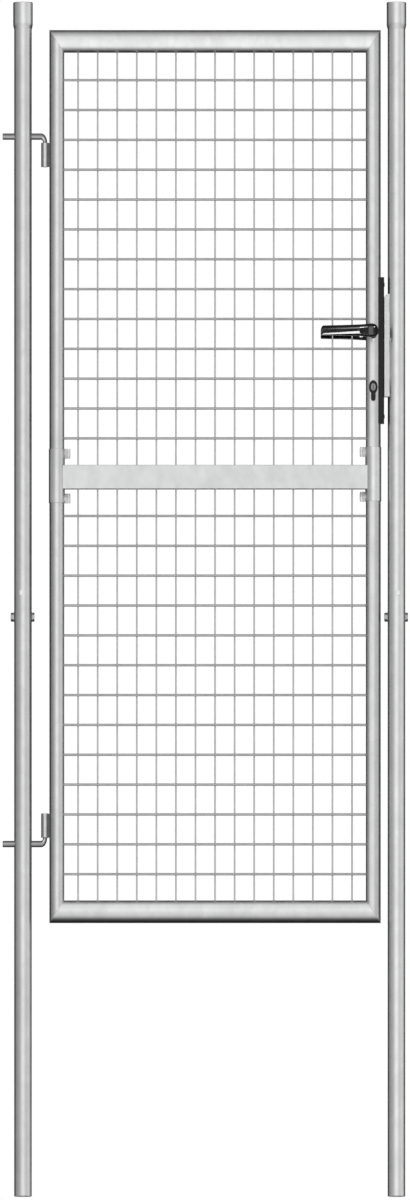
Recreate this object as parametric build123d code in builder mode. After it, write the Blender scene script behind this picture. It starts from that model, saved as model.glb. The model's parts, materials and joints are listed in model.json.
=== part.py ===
"""Two-post garden gate: tube frame with welded mesh, hinge bolts, lever lock and keep.

Frame: +Z up, X along the gate (hinges at -X), -Y is the side the leaf opens to.
Origin: bottom centre of the gate's box, at the feet of the posts. Millimetres.
"""
from build123d import *
import math
import os

# ------------------------------------------------------------------ dimensions
# posts
POST_R, POST_WALL = 22.5, 1.5
POST_TOP = 1997.0
POST_L, POST_RT = -466.0, 488.5
POST_SEAM = 1000.0
POST_BOLT_Z = 970.0
RIVET_Z, RIVET_TURN = 1010.3, (-15.0, 10.0)
JOINER_R, JOINER_WALL = 20.9, 2.0
CAP_R, CAP_TOP, CAP_SKIRT, CAP_TAPER = 25.1, 2000.0, 1955.6, 5.4

# leaf frame
TUBE_R, TUBE_WALL = 19.0, 1.5
STILE_L, STILE_RT = -379.5, 429.3
RAIL_BOT, RAIL_TOP = 476.6, 1934.4
MID_Z = 1204.5
JOINT_GAP = 1.0

# welded mesh
WIRE_R = 2.0
WIRE_PITCH = 50.0
UPRIGHT_X0, UPRIGHT_N = -325.0, 15
CROSS_DZ0, CROSS_N = 65.0, 13
WIRE_Y = 2.005

# joint piece between the leaf halves
BAR_H, BAR_D, BAR_WALL = 40.0, 30.0, 1.5
SLEEVE_R, SLEEVE_BORE, SLEEVE_LEN = 20.5, 19.1, 91.0
SLEEVE_LEFT_Z, SLEEVE_RIGHT_Z = MID_Z + 1.9, MID_Z + 4.9
CLAMP_DZ = 37.5

# M10 clamp screws, M8 post bolts
M10_R, M10_AF, M10_HEAD, M10_NUT = 5.0, 16.0, 5.5, 8.0
M8_R, M8_AF, M8_HEAD, M8_NUT = 4.0, 13.0, 5.3, 6.8
WASHER_R, WASHER_BORE, WASHER_T = 8.0, 4.2, 1.6
SEAT = WASHER_T + 0.04

# hinges: M12 bolts with a rolled shank of 10.7 mm
HINGE_X = -409.5
ROD_R = 5.35
HINGE_UP_Z, HINGE_LO_Z = 1775.0, 590.0
HINGE_END_X = -517.94
HINGE_BEND = 10.0
BARREL_R, BARREL_BORE, BARREL_LEN = 10.0, 5.43, 40.5
BARREL_UP_Z0, BARREL_LO_Z0 = 1724.0, 600.5

# lock
LOCK_X = STILE_RT
SPINDLE_Z = 1446.5
CYL_Z = 1354.5
FOREND_Z0, FOREND_Z1, FOREND_HALF, FOREND_X = 1294.0, 1539.0, 14.0, 457.1
CASE_X0, CASE_X1, CASE_HALF, CASE_Z0, CASE_Z1 = 413.7, 455.0, 7.0, 1314.0, 1519.0
LATCH_Z, LATCH_H, LATCH_HALF, LATCH_OUT = 1479.0, 25.0, 5.5, 9.0
BOLT_Z0, BOLT_Z1, BOLT_HALF, BOLT_OUT = 1372.5, 1396.0, 5.0, 0.0
FOREND_SCREW_Z = (1306.0, 1527.0)
CYL_HALF, CYL_R, CYL_TAIL, CYL_LOW = 27.0, 8.5, 5.0, 1332.5
CYL_SCREW_Z = 1336.5
PLUG_R, PLUG_BORE = 6.0, 6.05
CAM_R, CAM_TOOTH, CAM_HALF = 8.2, 13.0, 5.0

# lever
LEVER_TIP_X = 297.0
LEVER_Y0, LEVER_Y1 = 49.0, 60.5
LEVER_HUB_R = 11.0
NECK_R, JOURNAL_R = 9.0, 7.0
SPINDLE_SQ = 8.0

# keep
KEEP_X, KEEP_Z0, KEEP_Z1, KEEP_FRONT, KEEP_REAR, KEEP_T = 457.6, 1339.0, 1511.0, 14.0, 17.0, 2.0

os.makedirs("parts", exist_ok=True)


# ------------------------------------------------------------------ helpers
def rod_z(x, y, z0, z1, r, mode=Mode.ADD):
    with Locations((x, y, (z0 + z1) / 2)):
        Cylinder(r, z1 - z0, mode=mode)


def rod_x(x0, x1, y, z, r, mode=Mode.ADD):
    with Locations(((x0 + x1) / 2, y, z)):
        Cylinder(r, x1 - x0, rotation=(0, 90, 0), mode=mode)


def rod_y(x, y0, y1, z, r, mode=Mode.ADD):
    with Locations((x, (y0 + y1) / 2, z)):
        Cylinder(r, y1 - y0, rotation=(90, 0, 0), mode=mode)


def rivet_hole(x, turn):
    with Locations(Location((x, 0, RIVET_Z), (0, 0, turn))):
        with Locations((0, -POST_R, 0)):
            Cylinder(3.0, 16.0, rotation=(90, 0, 0), mode=Mode.SUBTRACT)


def block(x0, x1, y0, y1, z0, z1, mode=Mode.ADD):
    with Locations(((x0 + x1) / 2, (y0 + y1) / 2, (z0 + z1) / 2)):
        Box(x1 - x0, y1 - y0, z1 - z0, mode=mode)


def write(builder, name):
    builder.part.label = name
    export_step(builder.part, "parts/" + name + ".step")


# ------------------------------------------------------------------ hexagon hardware patterns
# M8 bolt head: under-head face at x = 0, head towards -X, one flat to the front
with BuildPart() as hex_head:
    with BuildSketch(Plane.YZ.offset(-M8_HEAD)):
        RegularPolygon(M8_AF / math.sqrt(3), 6, rotation=30)
    extrude(amount=M8_HEAD)
    with BuildSketch(Plane.XY):
        with BuildLine():
            Polyline((0.0, 0.0), (0.0, 7.8), (-4.5, 7.8), (-M8_HEAD, 6.3), (-M8_HEAD, 0.0), close=True)
        make_face()
    revolve(axis=Axis.X, mode=Mode.INTERSECT)

# M8 nut: seat face at x = 0, body towards +X
with BuildPart() as hex_nut:
    with BuildSketch(Plane.YZ):
        RegularPolygon(M8_AF / math.sqrt(3), 6, rotation=30)
    extrude(amount=M8_NUT)
    with BuildSketch(Plane.XY):
        with BuildLine():
            Polyline((0.0, 0.0), (0.0, 6.6), (0.7, 7.8), (M8_NUT - 0.9, 7.8), (M8_NUT, 6.3), (M8_NUT, 0.0), close=True)
        make_face()
    revolve(axis=Axis.X, mode=Mode.INTERSECT)
    rod_x(-1, M8_NUT + 1, 0, 0, M8_R + 0.04, mode=Mode.SUBTRACT)

# M10 clamp screw head: as above, one corner to the front, well rounded at the outer end
with BuildPart() as clamp_head:
    with BuildSketch(Plane.YZ.offset(-M10_HEAD)):
        RegularPolygon(M10_AF / math.sqrt(3), 6, rotation=0)
    extrude(amount=M10_HEAD)
    with BuildSketch(Plane.XY):
        with BuildLine():
            Polyline((0.0, 0.0), (0.0, 9.6), (-1.4, 9.6), (-3.2, 8.9), (-4.5, 7.6), (-M10_HEAD, 5.4), (-M10_HEAD, 0.0), close=True)
        make_face()
    revolve(axis=Axis.X, mode=Mode.INTERSECT)

# ------------------------------------------------------------------ posts
with BuildPart() as post_left_lower:
    rod_z(POST_L, 0, 0, POST_SEAM, POST_R)
    rod_z(POST_L, 0, -1, POST_SEAM + 1, POST_R - POST_WALL, mode=Mode.SUBTRACT)
    rod_x(POST_L - 30, POST_L + 30, 0, POST_BOLT_Z, M8_R + 0.2, mode=Mode.SUBTRACT)
    rod_x(POST_L - 30, POST_L + 30, 0, HINGE_LO_Z, ROD_R + 0.2, mode=Mode.SUBTRACT)
write(post_left_lower, "post_left_lower")

with BuildPart() as post_left_upper:
    rod_z(POST_L, 0, POST_SEAM, POST_TOP, POST_R)
    rod_z(POST_L, 0, POST_SEAM - 1, POST_TOP + 1, POST_R - POST_WALL, mode=Mode.SUBTRACT)
    rod_x(POST_L - 30, POST_L + 30, 0, HINGE_UP_Z, ROD_R + 0.2, mode=Mode.SUBTRACT)
    rivet_hole(POST_L, RIVET_TURN[0])
write(post_left_upper, "post_left_upper")

with BuildPart() as post_right_lower:
    rod_z(POST_RT, 0, 0, POST_SEAM, POST_R)
    rod_z(POST_RT, 0, -1, POST_SEAM + 1, POST_R - POST_WALL, mode=Mode.SUBTRACT)
    rod_x(POST_RT - 30, POST_RT + 30, 0, POST_BOLT_Z, M8_R + 0.2, mode=Mode.SUBTRACT)
write(post_right_lower, "post_right_lower")

with BuildPart() as post_right_upper:
    rod_z(POST_RT, 0, POST_SEAM, POST_TOP, POST_R)
    rod_z(POST_RT, 0, POST_SEAM - 1, POST_TOP + 1, POST_R - POST_WALL, mode=Mode.SUBTRACT)
    rivet_hole(POST_RT, RIVET_TURN[1])
    # slots behind the keep for the latch and the deadbolt
    block(POST_RT - 25, POST_RT - 12, -7.5, 7.5, LATCH_Z - 15, LATCH_Z + 15, mode=Mode.SUBTRACT)
    block(POST_RT - 25, POST_RT - 12, -6.5, 6.5, BOLT_Z0 - 2, BOLT_Z1 + 2, mode=Mode.SUBTRACT)
write(post_right_upper, "post_right_upper")

with BuildPart() as post_joiners:
    for px in (POST_L, POST_RT):
        rod_z(px, 0, POST_SEAM - 100, POST_SEAM + 100, JOINER_R)
    for px, turn in zip((POST_L, POST_RT), RIVET_TURN):
        rod_z(px, 0, POST_SEAM - 101, POST_SEAM + 101, JOINER_R - JOINER_WALL, mode=Mode.SUBTRACT)
        rod_x(px - 30, px + 30, 0, POST_BOLT_Z, M8_R + 0.2, mode=Mode.SUBTRACT)
        rivet_hole(px, turn)
write(post_joiners, "post_joiners")

# cap: skirt slipped over the tube, tapered in at its lower edge, flat top with a small edge radius
with BuildPart() as cap_pattern:
    with BuildSketch(Plane.XZ):
        with BuildLine():
            Polyline((0, POST_TOP + 0.1), (POST_R + 0.12, POST_TOP + 0.1), (POST_R + 0.12, CAP_SKIRT), (POST_R + 0.7, CAP_SKIRT),
                     (CAP_R - 0.5, CAP_SKIRT + CAP_TAPER - 1.2), (CAP_R, CAP_SKIRT + CAP_TAPER + 0.6), (CAP_R, CAP_TOP - 1.7),
                     (CAP_R - 0.25, CAP_TOP - 0.9), (CAP_R - 0.8, CAP_TOP - 0.35), (CAP_R - 1.6, CAP_TOP - 0.1), (5.0, CAP_TOP),
                     (0, CAP_TOP), close=True)
        make_face()
    revolve(axis=Axis.Z)

with BuildPart() as post_caps:
    with Locations((POST_L, 0, 0), (POST_RT, 0, 0)):
        add(cap_pattern.part)
write(post_caps, "post_caps")

# bolts through the post joint: heads towards +X, nuts towards -X, a washer under each
with BuildPart() as post_bolt_pattern:
    add(hex_head.part)
    rod_x(0, 2 * POST_R + 2 * SEAT + M8_NUT + 0.6, 0, 0, M8_R)

with BuildPart() as post_bolts:
    with Locations(Location((POST_L + POST_R + SEAT, 0, POST_BOLT_Z), (0, 0, 180)),
                   Location((POST_RT + POST_R + SEAT, 0, POST_BOLT_Z), (0, 0, 180))):
        add(post_bolt_pattern.part)
write(post_bolts, "post_bolts")

with BuildPart() as post_nuts:
    with Locations(Location((POST_L - POST_R - SEAT, 0, POST_BOLT_Z), (0, 0, 180)),
                   Location((POST_RT - POST_R - SEAT, 0, POST_BOLT_Z), (0, 0, 180))):
        add(hex_nut.part)
write(post_nuts, "post_nuts")

with BuildPart() as post_washers:
    for px in (POST_L, POST_RT):
        for wx in (px - POST_R - 0.02 - WASHER_T, px + POST_R + 0.02):
            rod_x(wx, wx + WASHER_T, 0, POST_BOLT_Z, WASHER_R)
            rod_x(wx - 0.5, wx + WASHER_T + 0.5, 0, POST_BOLT_Z, WASHER_BORE, mode=Mode.SUBTRACT)
write(post_washers, "post_washers")

# low dome rivets into the joiners
with BuildPart() as rivet_pattern:
    with BuildSketch(Plane.XY):
        with BuildLine():
            Polyline((0, -POST_R + 2), (0, -POST_R - 1.5), (1.8, -POST_R - 1.4), (3.4, -POST_R - 1.1), (4.5, -POST_R - 0.7),
                     (5.0, -POST_R - 0.2), (5.0, -POST_R + 2), close=True)
        make_face()
    revolve(axis=Axis.Y)
    rod_z(0, 0, -10, 10, POST_R + 0.01, mode=Mode.SUBTRACT)
    rod_y(0, -POST_R - 0.6, -JOINER_R + JOINER_WALL + 1.2, 0, 2.9)

with BuildPart() as post_rivets:
    with Locations(Location((POST_L, 0, RIVET_Z), (0, 0, RIVET_TURN[0])), Location((POST_RT, 0, RIVET_Z), (0, 0, RIVET_TURN[1]))):
        add(rivet_pattern.part)
write(post_rivets, "post_rivets")

# ------------------------------------------------------------------ hinge bolts
with BuildPart() as hinge_bolt_upper:
    with BuildLine():
        FilletPolyline((HINGE_END_X, 0, HINGE_UP_Z), (HINGE_X, 0, HINGE_UP_Z), (HINGE_X, 0, BARREL_UP_Z0 + 0.5),
                       radius=HINGE_BEND)
    with BuildSketch(Plane(origin=(HINGE_END_X, 0, HINGE_UP_Z), z_dir=(1, 0, 0))):
        Circle(ROD_R)
    sweep()
    chamfer(hinge_bolt_upper.edges().filter_by(GeomType.CIRCLE).group_by(Axis.X)[0], 1.0)
    chamfer(hinge_bolt_upper.edges().filter_by(GeomType.CIRCLE).group_by(Axis.Z)[0], 1.0)
write(hinge_bolt_upper, "hinge_bolt_upper")

with BuildPart() as hinge_bolt_lower:
    with BuildLine():
        FilletPolyline((HINGE_END_X, 0, HINGE_LO_Z), (HINGE_X, 0, HINGE_LO_Z),
                       (HINGE_X, 0, BARREL_LO_Z0 + BARREL_LEN - 0.5), radius=HINGE_BEND)
    with BuildSketch(Plane(origin=(HINGE_END_X, 0, HINGE_LO_Z), z_dir=(1, 0, 0))):
        Circle(ROD_R)
    sweep()
    chamfer(hinge_bolt_lower.edges().filter_by(GeomType.CIRCLE).group_by(Axis.X)[0], 1.0)
    chamfer(hinge_bolt_lower.edges().filter_by(GeomType.CIRCLE).group_by(Axis.Z)[-1], 1.0)
write(hinge_bolt_lower, "hinge_bolt_lower")

# threaded bushes across the inside of the left post
with BuildPart() as bush_pattern:
    rod_x(-24, 24, 0, 0, 8.5)
    rod_z(0, 0, -12, 12, POST_R - POST_WALL - 0.02, mode=Mode.INTERSECT)
    rod_x(-26, 26, 0, 0, ROD_R + 0.04, mode=Mode.SUBTRACT)

with BuildPart() as hinge_bushes:
    with Locations((POST_L, 0, HINGE_UP_Z), (POST_L, 0, HINGE_LO_Z)):
        add(bush_pattern.part)
write(hinge_bushes, "hinge_bushes")

# ------------------------------------------------------------------ keep on the right post
with BuildPart() as strike_keep:
    block(KEEP_X, POST_RT, -KEEP_FRONT, KEEP_REAR, KEEP_Z0, KEEP_Z1)
    fillet(strike_keep.edges().filter_by(Axis.Z).group_by(Axis.X)[0], 0.6)
    block(KEEP_X + KEEP_T, POST_RT + 1, -KEEP_FRONT + KEEP_T, KEEP_REAR - KEEP_T, KEEP_Z0 - 1, KEEP_Z1 + 1,
          mode=Mode.SUBTRACT)
    # the upper corner next to the leaf is cut off
    with BuildSketch(Plane.XZ.offset(-40)):
        with BuildLine():
            Polyline((KEEP_X - 1, KEEP_Z1 + 1), (KEEP_X - 1, KEEP_Z1 - 4.6), (KEEP_X, KEEP_Z1 - 4.0), (KEEP_X + 6.5, KEEP_Z1),
                     (KEEP_X + 6.5, KEEP_Z1 + 1), close=True)
        make_face()
    extrude(amount=80, mode=Mode.SUBTRACT)
    # stop lip: the rear flange runs on behind the forend
    block(KEEP_X - 11.0, KEEP_X + 4.0, KEEP_REAR - KEEP_T, KEEP_REAR, KEEP_Z0, KEEP_Z1 - 5.0)
    rod_z(POST_RT, 0, KEEP_Z0 - 1, KEEP_Z1 + 1, POST_R + 0.01, mode=Mode.SUBTRACT)
    block(KEEP_X - 1, KEEP_X + 4, -7.5, 7.5, LATCH_Z - 15, LATCH_Z + 15, mode=Mode.SUBTRACT)
    block(KEEP_X - 1, KEEP_X + 4, -6.5, 6.5, BOLT_Z0 - 2, BOLT_Z1 + 2, mode=Mode.SUBTRACT)
write(strike_keep, "strike_keep")

# ------------------------------------------------------------------ leaf tubes, mitred at the corners
MITRE_TL = Plane(origin=(STILE_L, 0, RAIL_TOP), z_dir=(1, 0, 1))
MITRE_TR = Plane(origin=(STILE_RT, 0, RAIL_TOP), z_dir=(-1, 0, 1))
MITRE_BL = Plane(origin=(STILE_L, 0, RAIL_BOT), z_dir=(1, 0, -1))
MITRE_BR = Plane(origin=(STILE_RT, 0, RAIL_BOT), z_dir=(-1, 0, -1))

with BuildPart() as top_rail:
    rod_x(STILE_L - 30, STILE_RT + 30, 0, RAIL_TOP, TUBE_R)
    rod_x(STILE_L - 31, STILE_RT + 31, 0, RAIL_TOP, TUBE_R - TUBE_WALL, mode=Mode.SUBTRACT)
    split(bisect_by=MITRE_TL, keep=Keep.TOP)
    split(bisect_by=MITRE_TR, keep=Keep.TOP)
write(top_rail, "top_rail")

with BuildPart() as bottom_rail:
    rod_x(STILE_L - 30, STILE_RT + 30, 0, RAIL_BOT, TUBE_R)
    rod_x(STILE_L - 31, STILE_RT + 31, 0, RAIL_BOT, TUBE_R - TUBE_WALL, mode=Mode.SUBTRACT)
    split(bisect_by=MITRE_BL, keep=Keep.TOP)
    split(bisect_by=MITRE_BR, keep=Keep.TOP)
write(bottom_rail, "bottom_rail")

with BuildPart() as stile_left_upper:
    rod_z(STILE_L, 0, MID_Z + JOINT_GAP / 2, RAIL_TOP + 30, TUBE_R)
    rod_z(STILE_L, 0, MID_Z - 1, RAIL_TOP + 31, TUBE_R - TUBE_WALL, mode=Mode.SUBTRACT)
    split(bisect_by=MITRE_TL, keep=Keep.BOTTOM)
write(stile_left_upper, "stile_left_upper")

with BuildPart() as stile_left_lower:
    rod_z(STILE_L, 0, RAIL_BOT - 30, MID_Z - JOINT_GAP / 2, TUBE_R)
    rod_z(STILE_L, 0, RAIL_BOT - 31, MID_Z + 1, TUBE_R - TUBE_WALL, mode=Mode.SUBTRACT)
    split(bisect_by=MITRE_BL, keep=Keep.BOTTOM)
write(stile_left_lower, "stile_left_lower")

with BuildPart() as stile_right_upper:
    rod_z(STILE_RT, 0, MID_Z + JOINT_GAP / 2, RAIL_TOP + 30, TUBE_R)
    rod_z(STILE_RT, 0, MID_Z - 1, RAIL_TOP + 31, TUBE_R - TUBE_WALL, mode=Mode.SUBTRACT)
    split(bisect_by=MITRE_TR, keep=Keep.BOTTOM)
    # pocket for the lock case in the closing edge
    block(LOCK_X, LOCK_X + 25, -CASE_HALF - 0.3, CASE_HALF + 0.3, CASE_Z0 - 1, CASE_Z1 + 1, mode=Mode.SUBTRACT)
    for sz in FOREND_SCREW_Z:
        rod_x(LOCK_X, LOCK_X + 25, 0, sz, 2.05, mode=Mode.SUBTRACT)
    # lever journals and profile cylinder go right through
    rod_y(LOCK_X, -25, 25, SPINDLE_Z, JOURNAL_R + 0.4, mode=Mode.SUBTRACT)
    rod_y(LOCK_X, -25, 25, CYL_Z, CYL_R + 0.3, mode=Mode.SUBTRACT)
    block(LOCK_X - CYL_TAIL - 0.3, LOCK_X + CYL_TAIL + 0.3, -25, 25, CYL_LOW - 0.5, CYL_Z, mode=Mode.SUBTRACT)
write(stile_right_upper, "stile_right_upper")

with BuildPart() as stile_right_lower:
    rod_z(STILE_RT, 0, RAIL_BOT - 30, MID_Z - JOINT_GAP / 2, TUBE_R)
    rod_z(STILE_RT, 0, RAIL_BOT - 31, MID_Z + 1, TUBE_R - TUBE_WALL, mode=Mode.SUBTRACT)
    split(bisect_by=MITRE_BR, keep=Keep.BOTTOM)
write(stile_right_lower, "stile_right_lower")

# ------------------------------------------------------------------ mesh: straight wires, crosswires in front
BAR_TOP, BAR_BOT = MID_Z + BAR_H / 2, MID_Z - BAR_H / 2

with BuildPart() as mesh_upper_uprights:
    for i in range(UPRIGHT_N):
        rod_z(UPRIGHT_X0 + i * WIRE_PITCH, WIRE_Y, BAR_TOP + 0.5, RAIL_TOP, WIRE_R)
    rod_x(STILE_L, STILE_RT, 0, RAIL_TOP, TUBE_R + 0.02, mode=Mode.SUBTRACT)
write(mesh_upper_uprights, "mesh_upper_uprights")

with BuildPart() as mesh_lower_uprights:
    for i in range(UPRIGHT_N):
        rod_z(UPRIGHT_X0 + i * WIRE_PITCH, WIRE_Y, RAIL_BOT, BAR_BOT - 0.5, WIRE_R)
    rod_x(STILE_L, STILE_RT, 0, RAIL_BOT, TUBE_R + 0.02, mode=Mode.SUBTRACT)
write(mesh_lower_uprights, "mesh_lower_uprights")

with BuildPart() as mesh_upper_crosswires:
    for i in range(CROSS_N):
        rod_x(STILE_L, STILE_RT, -WIRE_Y, MID_Z + CROSS_DZ0 + i * WIRE_PITCH, WIRE_R)
    for sx in (STILE_L, STILE_RT):
        rod_z(sx, 0, MID_Z, RAIL_TOP, TUBE_R + 0.02, mode=Mode.SUBTRACT)
write(mesh_upper_crosswires, "mesh_upper_crosswires")

with BuildPart() as mesh_lower_crosswires:
    for i in range(CROSS_N):
        rod_x(STILE_L, STILE_RT, -WIRE_Y, MID_Z - CROSS_DZ0 - i * WIRE_PITCH, WIRE_R)
    for sx in (STILE_L, STILE_RT):
        rod_z(sx, 0, RAIL_BOT, MID_Z, TUBE_R + 0.02, mode=Mode.SUBTRACT)
write(mesh_lower_crosswires, "mesh_lower_crosswires")

# ------------------------------------------------------------------ joint piece: crossbar and two sleeves
with BuildPart() as crossbar:
    block(STILE_L, STILE_RT, -BAR_D / 2, BAR_D / 2, BAR_BOT, BAR_TOP)
    fillet(crossbar.edges().filter_by(Axis.X), 1.5)
    block(STILE_L - 1, STILE_RT + 1, -BAR_D / 2 + BAR_WALL, BAR_D / 2 - BAR_WALL, BAR_BOT + BAR_WALL, BAR_TOP - BAR_WALL,
          mode=Mode.SUBTRACT)
    for sx in (STILE_L, STILE_RT):
        rod_z(sx, 0, BAR_BOT - 5, BAR_TOP + 5, SLEEVE_R + 0.02, mode=Mode.SUBTRACT)
write(crossbar, "crossbar")

with BuildPart() as joint_sleeve_left:
    rod_z(STILE_L, 0, SLEEVE_LEFT_Z - SLEEVE_LEN / 2, SLEEVE_LEFT_Z + SLEEVE_LEN / 2, SLEEVE_R)
    fillet(joint_sleeve_left.edges().filter_by(GeomType.CIRCLE), 0.9)
    rod_z(STILE_L, 0, MID_Z - SLEEVE_LEN, MID_Z + SLEEVE_LEN, SLEEVE_BORE, mode=Mode.SUBTRACT)
    for dz in (-CLAMP_DZ, CLAMP_DZ):
        rod_x(STILE_L, STILE_L + 25, 0, SLEEVE_LEFT_Z + dz, M10_R + 0.1, mode=Mode.SUBTRACT)
write(joint_sleeve_left, "joint_sleeve_left")

with BuildPart() as joint_sleeve_right:
    rod_z(STILE_RT, 0, SLEEVE_RIGHT_Z - SLEEVE_LEN / 2, SLEEVE_RIGHT_Z + SLEEVE_LEN / 2, SLEEVE_R)
    fillet(joint_sleeve_right.edges().filter_by(GeomType.CIRCLE), 0.9)
    rod_z(STILE_RT, 0, MID_Z - SLEEVE_LEN, MID_Z + SLEEVE_LEN, SLEEVE_BORE, mode=Mode.SUBTRACT)
    for dz in (-CLAMP_DZ, CLAMP_DZ):
        rod_x(STILE_RT - 25, STILE_RT, 0, SLEEVE_RIGHT_Z + dz, M10_R + 0.1, mode=Mode.SUBTRACT)
write(joint_sleeve_right, "joint_sleeve_right")

# welded nuts are ground to the round of the sleeve
with BuildPart() as weld_nut_pattern:
    with BuildSketch(Plane.YZ.offset(SLEEVE_R - 2.5)):
        RegularPolygon(M10_AF / math.sqrt(3), 6, rotation=0)
    extrude(amount=M10_NUT + 2.5)
    with BuildSketch(Plane.XY):
        with BuildLine():
            Polyline((SLEEVE_R - 3, 0.0), (SLEEVE_R - 3, 9.6), (SLEEVE_R + M10_NUT - 0.7, 9.6),
                     (SLEEVE_R + M10_NUT, 8.2), (SLEEVE_R + M10_NUT, 0.0), close=True)
        make_face()
    revolve(axis=Axis.X, mode=Mode.INTERSECT)
    rod_z(0, 0, -12, 12, SLEEVE_R + 0.02, mode=Mode.SUBTRACT)
    rod_x(0, SLEEVE_R + M10_NUT + 5, 0, 0, M10_R + 0.04, mode=Mode.SUBTRACT)

CLAMPS = [Location((STILE_L, 0, SLEEVE_LEFT_Z - CLAMP_DZ), (0, 0, 0)), Location((STILE_L, 0, SLEEVE_LEFT_Z + CLAMP_DZ), (0, 0, 0)),
          Location((STILE_RT, 0, SLEEVE_RIGHT_Z - CLAMP_DZ), (0, 0, 180)), Location((STILE_RT, 0, SLEEVE_RIGHT_Z + CLAMP_DZ), (0, 0, 180))]

with BuildPart() as sleeve_nuts:
    with Locations(*CLAMPS):
        add(weld_nut_pattern.part)
write(sleeve_nuts, "sleeve_nuts")

with BuildPart() as clamp_screw_pattern:
    with Locations(Location((SLEEVE_R + M10_NUT + 0.5, 0, 0), (0, 0, 180))):
        add(clamp_head.part)
    rod_x(TUBE_R + 0.02, SLEEVE_R + M10_NUT + 0.5, 0, 0, M10_R)

with BuildPart() as sleeve_screws:
    with Locations(*CLAMPS):
        add(clamp_screw_pattern.part)
write(sleeve_screws, "sleeve_screws")

# ------------------------------------------------------------------ hinge eyes on the leaf
with BuildPart() as hinge_barrels:
    for z0 in (BARREL_UP_Z0, BARREL_LO_Z0):
        rod_z(HINGE_X, 0, z0, z0 + BARREL_LEN, BARREL_R)
    fillet(hinge_barrels.edges().filter_by(GeomType.CIRCLE), 0.6)
    for z0 in (BARREL_UP_Z0, BARREL_LO_Z0):
        rod_z(HINGE_X, 0, z0 - 1, z0 + BARREL_LEN + 1, BARREL_BORE, mode=Mode.SUBTRACT)
write(hinge_barrels, "hinge_barrels")

with BuildPart() as hinge_lugs:
    for z0 in (BARREL_UP_Z0, BARREL_LO_Z0):
        block(HINGE_X, STILE_L, -8.0, 8.0, z0 + 0.8, z0 + BARREL_LEN - 0.8)
    for z0 in (BARREL_UP_Z0, BARREL_LO_Z0):
        rod_z(HINGE_X, 0, z0, z0 + BARREL_LEN, BARREL_R + 0.02, mode=Mode.SUBTRACT)
        rod_z(STILE_L, 0, z0, z0 + BARREL_LEN, TUBE_R + 0.02, mode=Mode.SUBTRACT)
write(hinge_lugs, "hinge_lugs")

# ------------------------------------------------------------------ lock: forend, case and cover
with BuildPart() as lock_forend:
    block(LOCK_X + 5, FOREND_X, -FOREND_HALF, FOREND_HALF, FOREND_Z0, FOREND_Z1)
    fillet(lock_forend.edges().filter_by(Axis.Z).group_by(Axis.X)[-1], 3.0)
    fillet(lock_forend.faces().sort_by(Axis.X)[-1].edges(), 0.8)
    rod_z(LOCK_X, 0, FOREND_Z0 - 1, FOREND_Z1 + 1, TUBE_R + 0.02, mode=Mode.SUBTRACT)
    block(LOCK_X, CASE_X1, -CASE_HALF - 0.05, CASE_HALF + 0.05, CASE_Z0 - 0.05, CASE_Z1 + 0.05, mode=Mode.SUBTRACT)
    block(CASE_X1 - 1, FOREND_X + 1, -LATCH_HALF - 0.3, LATCH_HALF + 0.3, LATCH_Z - LATCH_H / 2 - 0.3, LATCH_Z + LATCH_H / 2 + 0.3,
          mode=Mode.SUBTRACT)
    block(CASE_X1 - 1, FOREND_X + 1, -BOLT_HALF - 0.3, BOLT_HALF + 0.3, BOLT_Z0 - 0.3, BOLT_Z1 + 0.3, mode=Mode.SUBTRACT)
    for sz in FOREND_SCREW_Z:
        rod_x(LOCK_X, FOREND_X + 1, 0, sz, 2.05, mode=Mode.SUBTRACT)
    rod_x(CASE_X1 - 1, FOREND_X + 1, 0, CYL_SCREW_Z, 2.6, mode=Mode.SUBTRACT)
    with Locations((FOREND_X - 1.0, 0, CYL_SCREW_Z)):
        Cone(2.55, 4.75, 2.2, rotation=(0, 90, 0), mode=Mode.SUBTRACT)
write(lock_forend, "lock_forend")

# pan-head screws: face of the forend at x = 0
with BuildPart() as pan_head:
    with BuildSketch(Plane.XY):
        with BuildLine():
            Polyline((0, 0), (1.3, 0), (1.3, 2.4), (0.9, 3.3), (0, 3.8), close=True)
        make_face()
    revolve(axis=Axis.X)
    block(0.6, 2.0, -0.5, 0.5, -2.2, 2.2, mode=Mode.SUBTRACT)
    block(0.6, 2.0, -2.2, 2.2, -0.5, 0.5, mode=Mode.SUBTRACT)

with BuildPart() as forend_screws:
    with Locations((FOREND_X, 0, FOREND_SCREW_Z[0]), (FOREND_X, 0, FOREND_SCREW_Z[1])):
        add(pan_head.part)
    for sz in FOREND_SCREW_Z:
        rod_x(LOCK_X + 14, FOREND_X, 0, sz, 2.0)
write(forend_screws, "forend_screws")

with BuildPart() as lock_case:
    block(CASE_X0, CASE_X1, -CASE_HALF + 1.0, CASE_HALF, CASE_Z0, CASE_Z1)
    block(CASE_X0 + 1, CASE_X1 - 1, -CASE_HALF, CASE_HALF - 1, CASE_Z0 + 1, CASE_Z1 - 1, mode=Mode.SUBTRACT)
    rod_y(LOCK_X, 0, 20, SPINDLE_Z, 7.0, mode=Mode.SUBTRACT)
    rod_y(LOCK_X, 0, 20, CYL_Z, CYL_R + 0.2, mode=Mode.SUBTRACT)
    block(LOCK_X - CYL_TAIL - 0.2, LOCK_X + CYL_TAIL + 0.2, 0, 20, CYL_LOW - 0.3, CYL_Z, mode=Mode.SUBTRACT)
    block(CASE_X1 - 3, CASE_X1 + 1, -LATCH_HALF - 0.3, LATCH_HALF + 0.3, LATCH_Z - LATCH_H / 2 - 0.3, LATCH_Z + LATCH_H / 2 + 0.3,
          mode=Mode.SUBTRACT)
    block(CASE_X1 - 3, CASE_X1 + 1, -BOLT_HALF - 0.3, BOLT_HALF + 0.3, BOLT_Z0 - 0.3, BOLT_Z1 + 0.3, mode=Mode.SUBTRACT)
    rod_x(CASE_X1 - 3, CASE_X1 + 1, 0, CYL_SCREW_Z, 2.6, mode=Mode.SUBTRACT)
write(lock_case, "lock_case")

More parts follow.
